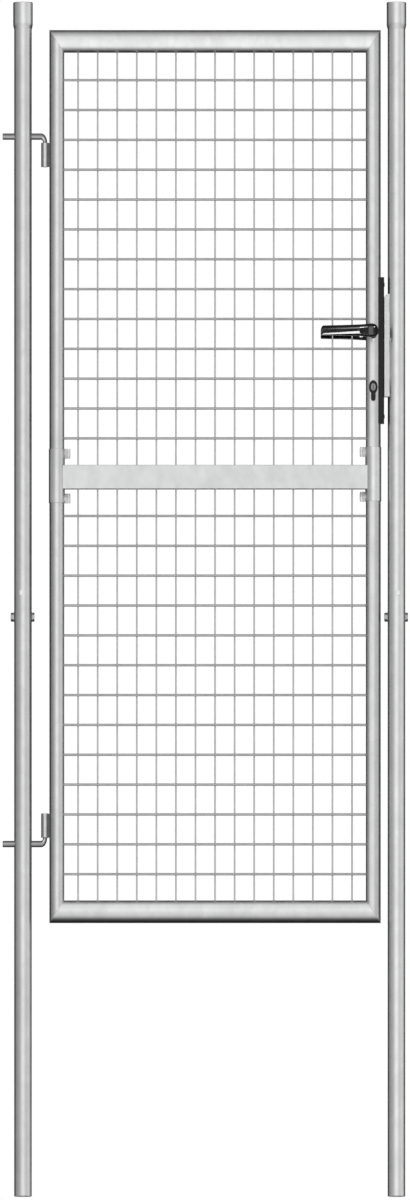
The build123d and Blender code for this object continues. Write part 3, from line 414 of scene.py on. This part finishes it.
# ------------------------------------------------------------------ weld beads of the frame
beads = Soup()
for n_end, (x, side) in enumerate(((STILE_L, 1.0), (STILE_RT, -1.0))):
    loop = []
    h, d = BAR_H / 2, BAR_D / 2
    for i in range(16):
        loop.append((d * -1.0, -h + 2 * h * i / 16))
    for i in range(14):
        loop.append((-d + 2 * d * i / 14, h))
    for i in range(16):
        loop.append((d, h - 2 * h * i / 16))
    for i in range(14):
        loop.append((d - 2 * d * i / 14, -h))
    beads.tube([(x + side * (math.sqrt(SLEEVE_R ** 2 - y * y) + 0.1), y, MID_Z + z) for y, z in loop], 1.0, 8, closed=True, wobble=0.35, seed=n_end + 3)
for n_c, (x, z, sx, sz) in enumerate(((STILE_L, RAIL_TOP, -1, 1), (STILE_RT, RAIL_TOP, 1, 1), (STILE_L, RAIL_BOT, -1, -1), (STILE_RT, RAIL_BOT, 1, -1))):
    ring = []
    for i in range(56):
        t = 2 * math.pi * i / 56
        r = TUBE_R - 0.45
        ring.append((x + sx * r * math.sin(t), -r * math.cos(t), z + sz * r * math.sin(t)))
    beads.tube(ring, 0.62, 8, closed=True, wobble=0.25, seed=n_c + 11)
for n_n, (x, side, zc) in enumerate(CLAMPS):
    ring = []
    for i in range(30):
        t = 2 * math.pi * i / 30
        y, z = 8.0 * math.cos(t), 7.6 * math.sin(t)
        ring.append((x + side * (math.sqrt(SLEEVE_R ** 2 - y * y) + 0.2), y, zc + z))
    beads.tube(ring, 0.8, 8, closed=True, wobble=0.4, seed=n_n * 3 + 71)
beads.piece("frame_welds", M_WELD, "leaf")

# weld beads along the lugs, in the near-black lug zinc: painted shade
lug_beads = Soup()
for n_h, z0 in enumerate((BARREL_UP_Z0, BARREL_LO_Z0)):
    for n_s, (x, y) in enumerate(((STILE_L - 17.3, -8.1), (STILE_L - 17.3, 8.1), (HINGE_X + 6.1, -8.1), (HINGE_X + 6.1, 8.1))):
        lug_beads.tube([(x, y, z0 + 1.2 + (BARREL_LEN - 2.4) * i / 24) for i in range(25)], 0.7, 8, wobble=0.35, seed=n_h * 5 + n_s + 31)
lug_beads.piece("lug_welds", M_LUG_SHADE, "leaf")

stitches = Soup()
for n_s, (y, z0, z1) in enumerate([(y, z, z + 24.0) for y in (-KEEP_FRONT + 0.1, KEEP_REAR - 0.1) for z in (KEEP_Z0 + 6, KEEP_Z0 + 74, KEEP_Z1 - 32)]):
    foot = POST_RT - math.sqrt(POST_R ** 2 - y * y) - 0.3
    stitches.tube([(foot, y, z0 + (z1 - z0) * i / 18) for i in range(19)], 1.0, 8, wobble=0.35, seed=n_s + 91)
stitches.piece("keep_welds", M_WELD, "posts")


# ------------------------------------------------------------------ lever handles
def table(x, rows):
    if x <= rows[0][0]:
        return rows[0][1]
    for (xa, va), (xb, vb) in zip(rows, rows[1:]):
        if x <= xb:
            return va + (vb - va) * (x - xa) / (xb - xa)
    return rows[-1][1]


HUB_X, HUB_W, HUB_UP, HUB_DOWN = 423.0, 19.6, 13.0, 10.0
LEV_TOP = [(294.8, 2.6), (296.2, 5.6), (298.2, 8.2), (300.6, 9.5), (344.0, 10.1), (370.0, 10.6), (401.0, 11.4), (416.0, 12.5), (423.0, 13.0)]
LEV_BOT = {-1.0: [(297.0, -7.0), (390.0, -8.0), (404.0, -8.6), (414.0, -9.4), (423.0, -10.0)],
           1.0: [(297.0, -7.5), (344.0, -8.2), (390.0, -9.2), (404.0, -9.8), (414.0, -10.2), (423.0, -10.2)]}
LEV_B1 = [(297.0, -4.2), (396.0, 0.0), (404.0, -1.8)]
LEV_B2 = [(297.0, -6.5), (396.0, -4.5), (404.0, -5.8)]
LEV_TILT = [(297.4, 0.2), (300.0, 1.0), (395.0, 1.0), (399.0, 0.25), (403.0, 0.0)]
LEV_FRONT = [(297.0, 60.5), (395.0, 60.5), (400.0, 59.6), (405.0, 58.7), (415.0, 58.5), (417.5, 58.55), (419.5, 58.75), (424.0, 59.2),
             (429.0, 59.68), (431.5, 59.8), (434.0, 59.6), (437.5, 58.6), (440.4, 57.0), (442.3, 54.6)]
LEV_HEEL = [(386.0, 0.0), (392.0, 1.0), (406.0, 1.0), (411.0, 0.0)]
LEV_X = [294.8, 295.1, 295.8, 297.2, 299.0, 301.0, 304.0, 312.0, 324.0, 340.0, 357.0, 370.0, 382.0, 390.0, 394.0, 396.5, 399.0, 402.0, 405.0, 409.0, 413.0, 416.0,
         418.5, 421.0, 423.5, 426.0, 428.0, 430.0, 432.0, 434.0, 436.5, 438.8, 440.6, 441.7, 442.3]
LEV_IN = {294.8: 1.6, 295.1: 0.6, 295.8: 0.1}


def lever_section(x, side):
    top, bot = table(x, LEV_TOP), table(x, LEV_BOT[side])
    if x > HUB_X:
        q = max(0.01, 1.0 - ((x - HUB_X) / HUB_W) ** 2.8) ** 0.45
        top, bot = min(top, HUB_UP * q), max(bot, -HUB_DOWN * q)
    s = min(1.0, (top - bot) / 15.5)
    b1, b2 = min(table(x, LEV_B1), top - 6.6 * s), table(x, LEV_B2)
    b1, b2 = max(b1, bot + 3.2 * s), max(b2, bot + 0.5 * s)
    if b2 > b1 - 0.8 * s:
        b2 = b1 - 0.8 * s
    drop = math.tan(math.radians(13.0)) * (b1 - b2) * table(x, LEV_TILT)
    depth = (table(x, LEV_FRONT) - 49.0) / 11.5
    heel = table(x, LEV_HEEL)
    pts = [(49.0, (top + bot) / 2), (49.0, top - 3.0 * s), (49.4, top - 1.5 * s), (50.4, top - 0.5 * s), (52.0, top - 0.06 * s), (54.0, top),
           (56.0, top - 0.25 * s), (57.6, top - 0.9 * s), (58.9, top - 2.0 * s), (59.75, top - 3.3 * s), (60.25, top - 4.8 * s), (60.47, top - 6.2 * s),
           (60.5, (top - 6.2 * s + b1) / 2), (60.5, b1 + 0.30 * s), (60.46, b1), (60.40, b1 - 0.25 * s),
           (60.5 - drop * 0.5, (b1 + b2) / 2), (60.5 - drop + 0.03, b2 + 0.25 * s), (60.42 - drop, b2), (60.15 - drop, b2 - 0.3 * s),
           (57.5, bot + 0.5 * s), (56.6, bot + 0.1 * s), (55.4, bot), (53.0, bot), (50.4 + 1.6 * heel, bot + 0.1 * s + 0.1 * heel), (49.5 + 1.7 * heel, bot + 0.35 * s + 0.25 * heel),
           (49.1 + 0.7 * heel, bot + 0.8 * s + 2.8 * heel), (49.0 + 0.42 * heel, bot + 1.6 * s + 3.8 * heel), (49.0 + 0.08 * heel, bot + 2.6 * s + 4.5 * heel), (49.0, bot + 3.4 * s + 4.8 * heel)]
    inset = LEV_IN.get(x, 0.0)
    cd, cz = 54.75, (top + bot) / 2
    out = []
    for d, z in pts:
        d = 49.0 + (d - 49.0) * depth
        if inset:
            d += -inset if d > cd else inset
            z += -inset if z > cz else inset
        out.append((d, z))
    return out


def lever(name, node, side):
    soup = Soup()
    soup.rings([[(x, side * d, SPINDLE_Z + z) for d, z in lever_section(x, side)] for x in LEV_X])
    neck = [(16.5, 6.6), (16.9, 7.0), (23.2, 7.0), (23.3, 8.5), (23.8, 8.95), (26.0, 9.0), (40.0, 9.0), (44.0, 9.15), (47.0, 9.6), (49.0, 10.2), (51.0, 10.4)]
    seg = 40
    soup.rings([[(LOCK_X + r * math.cos(2 * math.pi * j / seg), side * d, SPINDLE_Z + r * math.sin(2 * math.pi * j / seg)) for j in range(seg)] for d, r in neck])
    ob = soup.piece(name, M_LEVER, "lever")
    sub = ob.modifiers.new("round", "SUBSURF")
    sub.levels = sub.render_levels = 2
    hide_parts(node)
    return ob


LEVERS = [lever("lever_front_handle", "lever_front", -1.0), lever("lever_rear_handle", "lever_rear", 1.0)]

# ------------------------------------------------------------------ stage, camera and light
# the picture is 410 x 1200, stretched upright: 391.3 px per metre across and 597 px per metre up
PX_X, PX_Z = 391.3, 597.0
PITCH = math.radians(3.0)
k = PX_X / PX_Z
beta = math.acos(k * math.cos(PITCH)) - PITCH
look = Vector((0.0, math.cos(PITCH), math.sin(PITCH)))
up = Vector((0.0, math.sin(beta), math.cos(beta)))
centre = Vector(((205.0 - 205.3) / PX_X, 0.0, (1196.3 - 600.0) / PX_Z))
eye = centre - look * 8.0
shear = Matrix(((1.0, up.x, -look.x, eye.x), (0.0, up.y, -look.y, eye.y), (0.0, up.z, -look.z, eye.z), (0.0, 0.0, 0.0, 1.0)))
rig = bpy.data.objects.new("camera_rig", None)
SC.collection.objects.link(rig)
cam_data = bpy.data.cameras.new("camera")
cam_data.type = "ORTHO"
cam_data.ortho_scale = 1200.0 / PX_X
cam_data.clip_start, cam_data.clip_end = 0.05, 60.0
cam = bpy.data.objects.new("camera", cam_data)
SC.collection.objects.link(cam)
cam.parent = rig
cam.matrix_parent_inverse = shear
SC.camera = cam
SC.view_settings.view_transform = "Standard"
SC.view_settings.look = "None"

floor_me = bpy.data.meshes.new("floor")
floor_me.from_pydata([(13.0 * math.cos(math.tau * i / 96), 13.0 * math.sin(math.tau * i / 96), 0.0) for i in range(96)], [], [list(range(96))])
floor = bpy.data.objects.new("floor", floor_me)
SC.collection.objects.link(floor)
fm = Nodes("floor_white")
fm.set(Base_Color=fm.ramp(fm.noise(3.0, 2.0), [(0.0, grey(0.83)), (1.0, grey(0.87))]), Roughness=0.85)
geo = fm.add("ShaderNodeNewGeometry")
clear = fm.add("ShaderNodeBsdfTransparent")
side_mix = fm.add("ShaderNodeMixShader")
fm.link(geo.outputs["Backfacing"], side_mix.inputs[0])
fm.link(fm.p.outputs[0], side_mix.inputs[1])
fm.link(clear.outputs[0], side_mix.inputs[2])
fm.link(side_mix.outputs[0], fm.out.inputs[0])
floor_me.materials.append(fm.m)
floor.visible_glossy = False

# a white studio for the camera, and for the metal a room that is light in front, grey at the sides and dark behind and below
world = bpy.data.worlds.new("studio")
SC.world = world
world.use_nodes = True
wt = world.node_tree
wt.nodes.clear()
w_out = wt.nodes.new("ShaderNodeOutputWorld")
w_mix = wt.nodes.new("ShaderNodeMixShader")
w_cam = wt.nodes.new("ShaderNodeBackground")
w_cam.inputs[0].default_value = (1.0, 1.0, 1.0, 1.0)
w_cam.inputs[1].default_value = 1.0
w_room = wt.nodes.new("ShaderNodeBackground")
w_path = wt.nodes.new("ShaderNodeLightPath")
w_co = wt.nodes.new("ShaderNodeTexCoord")
w_sep = wt.nodes.new("ShaderNodeSeparateXYZ")
wt.links.new(w_co.outputs["Generated"], w_sep.inputs[0])


def w_ramp(sock, stops, lo=-1.0, hi=1.0):
    m = wt.nodes.new("ShaderNodeMapRange")
    m.inputs["From Min"].default_value = lo
    m.inputs["From Max"].default_value = hi
    wt.links.new(sock, m.inputs["Value"])
    r = wt.nodes.new("ShaderNodeValToRGB")
    r.color_ramp.interpolation = "LINEAR"
    e = r.color_ramp.elements
    while len(e) > 1:
        e.remove(e[0])
    e[0].position, e[0].color = stops[0][0], (*grey(stops[0][1]), 1.0)
    for p, v in stops[1:]:
        x = e.new(p)
        x.color = (*grey(v), 1.0)
    wt.links.new(m.outputs[0], r.inputs[0])
    return r.outputs[0]


def w_math(op, a, b=None, clamp=False):
    n = wt.nodes.new("ShaderNodeMath")
    n.operation = op
    n.use_clamp = clamp
    for i, v in enumerate((a, b)):
        if v is None:
            continue
        if isinstance(v, (int, float)):
            n.inputs[i].default_value = v
        else:
            wt.links.new(v, n.inputs[i])
    return n.outputs[0]


def w_lerp(t, a, b):
    n = wt.nodes.new("ShaderNodeMix")
    n.data_type = "RGBA"
    wt.links.new(t, n.inputs[0])
    wt.links.new(a, n.inputs[6])
    wt.links.new(b, n.inputs[7])
    return n.outputs[2]


def w_step(sock):
    m = wt.nodes.new("ShaderNodeMapRange")
    m.interpolation_type = "SMOOTHSTEP"
    m.inputs["From Min"].default_value = -0.12
    m.inputs["From Max"].default_value = 0.12
    wt.links.new(sock, m.inputs["Value"])
    return m.outputs[0]


# brightness of the room against the angle from straight in front (0) to straight behind (180), on each of four sides
BACK = [(128, 0.03), (152, 0.03), (159, 0.15), (167, 0.70), (180, 1.0)]
ROOM = {
    "right": [(0, 1.40), (12, 1.24), (22, 1.06), (34, 0.87), (46, 0.76), (60, 0.92), (75, 1.12), (87, 0.96), (101, 0.66), (114, 0.42), (124, 0.12)] + BACK,
    "left": [(0, 1.40), (12, 1.26), (22, 1.00), (34, 0.72), (48, 0.57), (63, 0.50), (80, 0.46), (98, 0.42), (108, 0.28), (115, 0.12), (122, 0.04)] + BACK,
    "up": [(0, 1.40), (17, 1.35), (30, 1.20), (42, 1.06), (56, 0.90), (72, 0.68), (85, 0.54), (100, 0.44), (114, 0.26), (124, 0.08)] + BACK,
    "down": [(0, 1.40), (14, 1.42), (45, 1.44), (56, 1.30), (67, 0.96), (80, 0.50), (94, 0.20), (110, 0.08)] + BACK,
}
angle = w_math("DIVIDE", w_math("ARCCOSINE", w_math("MULTIPLY", w_sep.outputs["Y"], -1.0)), math.pi)


def w_side(key):
    return w_ramp(angle, [(p / 180.0, v) for p, v in ROOM[key]], 0.0, 1.0)


x2 = w_math("MULTIPLY", w_sep.outputs["X"], w_sep.outputs["X"])
z2 = w_math("MULTIPLY", w_sep.outputs["Z"], w_sep.outputs["Z"])
share = w_math("DIVIDE", x2, w_math("ADD", w_math("ADD", x2, z2), 1e-5))
across = w_lerp(w_step(w_sep.outputs["X"]), w_side("left"), w_side("right"))
upright = w_lerp(w_step(w_sep.outputs["Z"]), w_side("down"), w_side("up"))
wt.links.new(w_lerp(share, upright, across), w_room.inputs[0])
w_room.inputs[1].default_value = 1.0
wt.links.new(w_path.outputs["Is Camera Ray"], w_mix.inputs[0])
wt.links.new(w_room.outputs[0], w_mix.inputs[1])
wt.links.new(w_cam.outputs[0], w_mix.inputs[2])
wt.links.new(w_mix.outputs[0], w_out.inputs[0])


def softbox(name, loc, target, size, size_y, power):
    d = bpy.data.lights.new(name, "AREA")
    d.shape = "RECTANGLE"
    d.size, d.size_y, d.energy = size, size_y, power
    ob = bpy.data.objects.new(name, d)
    ob.location = loc
    ob.rotation_euler = (Vector(target) - Vector(loc)).to_track_quat("-Z", "Y").to_euler()
    SC.collection.objects.link(ob)
    ob.visible_camera = False
    return ob


softbox("ceiling", (0.0, -1.2, 4.6), (0.0, -0.2, 0.0), 5.0, 4.0, 14.0)

# an even wash that only the floor picks up
ground = bpy.data.collections.new("ground")
ground.objects.link(floor)
wash = bpy.data.lights.new("floor_wash", "SUN")
wash.energy, wash.angle = 1.35, math.radians(55.0)
sky = bpy.data.objects.new("floor_wash", wash)
sky.rotation_euler = (math.radians(14.0), math.radians(-10.0), 0.0)
SC.collection.objects.link(sky)
sky.light_linking.receiver_collection = ground

# a broad lamp in front that only the hinge iron picks up
iron = bpy.data.collections.new("hinge_iron")
for key in ("hinge_bolt_upper", "hinge_bolt_lower", "hinge_barrels"):
    iron.objects.link(NODES[key])
lamp = softbox("hinge_front", (-0.95, -3.0, 1.2), (-0.45, 0.0, 1.2), 3.2, 4.0, 0.95 * math.pi * 3.2 * 4.0)
lamp.light_linking.receiver_collection = iron

# a square lamp to the left, halfway between the hinges, that shines on the bends of the two hinge bolts
bends = bpy.data.collections.new("hinge_bends")
for key in ("hinge_bolt_upper", "hinge_bolt_lower"):
    bends.objects.link(NODES[key])
lamp = softbox("bend_shine", (-1.06, -0.92, 1.18), (-0.41, 0.0, 1.18), 0.9, 0.9, 3.6 * math.pi * 0.81)
lamp.light_linking.receiver_collection = bends

# a tall softbox to the left that only the closing stile picks up
closing = bpy.data.collections.new("closing_stile")
for key in ("stile_right_upper", "stile_right_lower"):
    closing.objects.link(NODES[key])
lamp = softbox("stile_fill", (0.43 - 3.0 * math.sin(math.radians(42.0)), -3.0 * math.cos(math.radians(42.0)), 1.2), (0.43, 0.0, 1.2), 2.5, 4.4, 0.50 * math.pi * 2.5 * 4.4)
lamp.light_linking.receiver_collection = closing

# small lamps that only the gloss of the levers picks up
gloss = [bpy.data.collections.new("gloss_front"), bpy.data.collections.new("gloss_rear")]
for group, ob in zip(gloss, LEVERS):
    group.objects.link(ob)
for name, which, x, azimuth, elevation, far, wide, tall, radiance in (("glint_low", 0, 0.36, 0.0, -24.5, 2.4, 1.3, 0.42, 120.0),
                                                                      ("glint_high", 0, 0.395, 18.0, 21.0, 0.60, 0.15, 0.14, 165.0),
                                                                      ("glint_face", 0, 0.665, 0.0, 18.5, 2.4, 0.66, 0.86, 36.0),
                                                                      ("glint_left", 0, 0.427, -11.0, 0.0, 1.2, 0.16, 0.9, 12.0),
                                                                      ("glint_heel", 1, 0.400, 0.0, -24.5, 2.4, 0.17, 0.60, 150.0)):
    at = Vector((x, -0.06, 1.448))
    a, e = math.radians(azimuth), math.radians(elevation)
    where = at + far * Vector((math.sin(a) * math.cos(e), -math.cos(a) * math.cos(e), math.sin(e)))
    lamp = softbox(name, where, at, wide, tall, radiance * math.pi * wide * tall)
    lamp.light_linking.receiver_collection = gloss[which]
